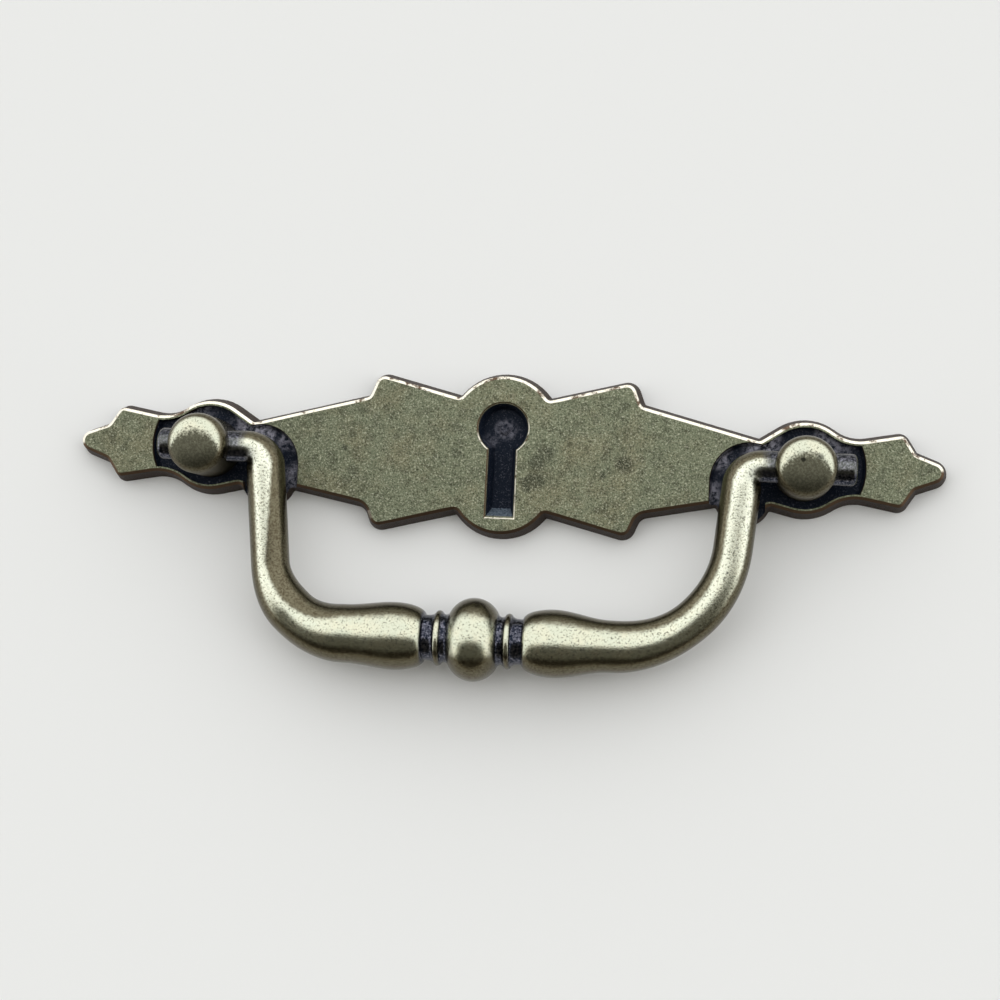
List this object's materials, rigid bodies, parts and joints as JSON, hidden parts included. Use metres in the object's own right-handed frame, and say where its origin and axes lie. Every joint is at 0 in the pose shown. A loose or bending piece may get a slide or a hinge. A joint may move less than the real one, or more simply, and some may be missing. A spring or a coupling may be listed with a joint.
{
  "type": "drawer pull",
  "caption": "Cast antique-brass bail pull on a star-ended backplate with a blind keyhole; the bail swings on domed posts so that fingers can pull a drawer open.",
  "frame": {"origin": "centre of the backplate's back face", "axes": "+X along the plate to its right end, +Y to the round end of the keyhole, +Z out of the drawer front"},
  "size_m": [0.1114, 0.0394, 0.0106],
  "materials": {
    "plate_brass": "antiqued, sandy and dull, worn bright along the front edges",
    "post_brass": "antiqued, worn smooth and bright on the dome",
    "bail_brass": "antiqued, worn smooth by hands, dark in the grooves"
  },
  "bodies": {
    "plate": {"backplate": "plate_brass", "left_post": "post_brass", "right_post": "post_brass"},
    "bail": {"bail": "bail_brass"}
  },
  "joints": [
    {"name": "bail_swing", "type": "hinge", "parent": "plate", "child": "bail", "pos_m": [0, -0.00025, 0.006], "axis": [-1, 0, 0], "range_deg": [0, 183]}
  ]
}
